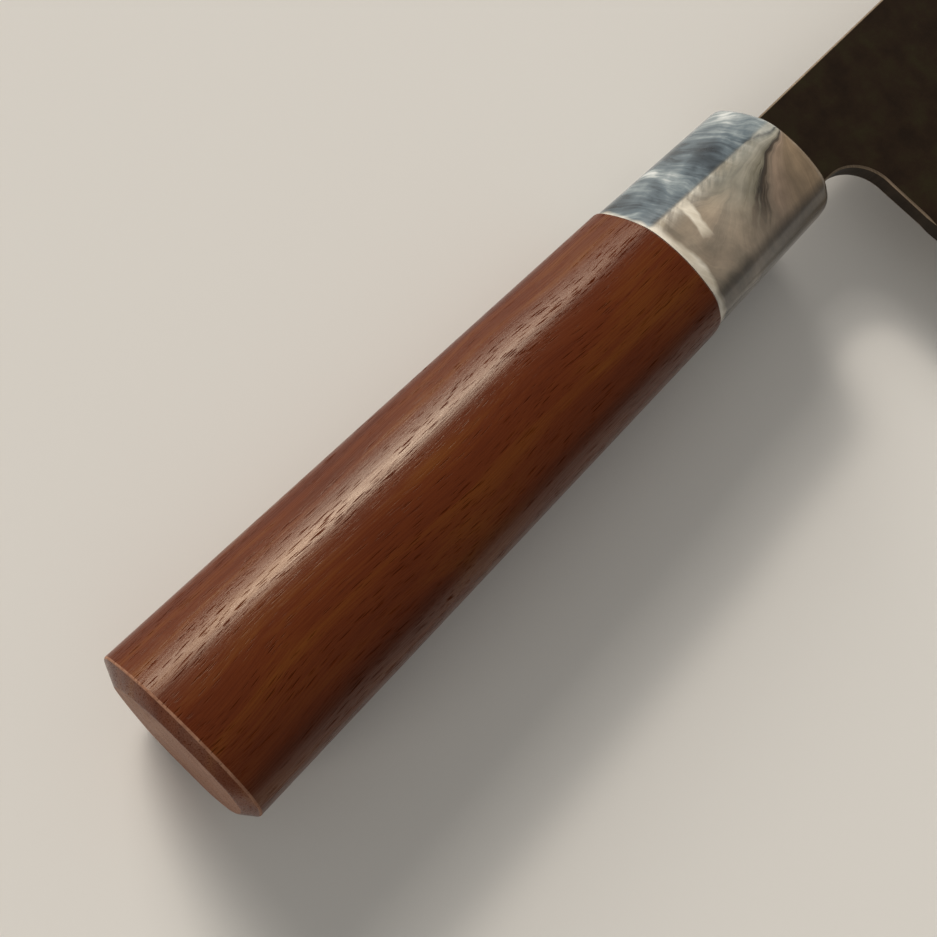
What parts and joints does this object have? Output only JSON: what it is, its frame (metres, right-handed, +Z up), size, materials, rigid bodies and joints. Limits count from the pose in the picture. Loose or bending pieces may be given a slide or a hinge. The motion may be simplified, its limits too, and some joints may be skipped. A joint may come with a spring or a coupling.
{
  "type": "nakiri knife",
  "caption": "Straight-edged vegetable knife with a dark three-layer blade, a marbled resin ferrule and a tapered octagonal hardwood handle on a hidden tang.",
  "frame": {"origin": "under the middle of the outer box, on the plane that the handle's lower side lies on", "axes": "+X from the butt to the blade's tip, +Y from the cutting edge to the spine, +Z up out of the blade's right-hand face"},
  "size_m": [0.3064, 0.0576, 0.023],
  "materials": {
    "handle_wood": "oiled satin, open-pored",
    "ferrule_resin": "polished, marbled pearl",
    "dowel_wood": "plain turned",
    "adhesive_resin": "cast",
    "seal": "matte",
    "core_steel": "ground and polished",
    "forged_iron": "dark forge finish, matte"
  },
  "bodies": {
    "root": {"handle_body": "handle_wood", "ferrule": "ferrule_resin", "tang_dowel": "dowel_wood", "tang_adhesive": "adhesive_resin", "slot_seal": "seal", "blade_core": "core_steel", "cladding_right": "forged_iron", "cladding_left": "forged_iron"}
  },
  "joints": []
}
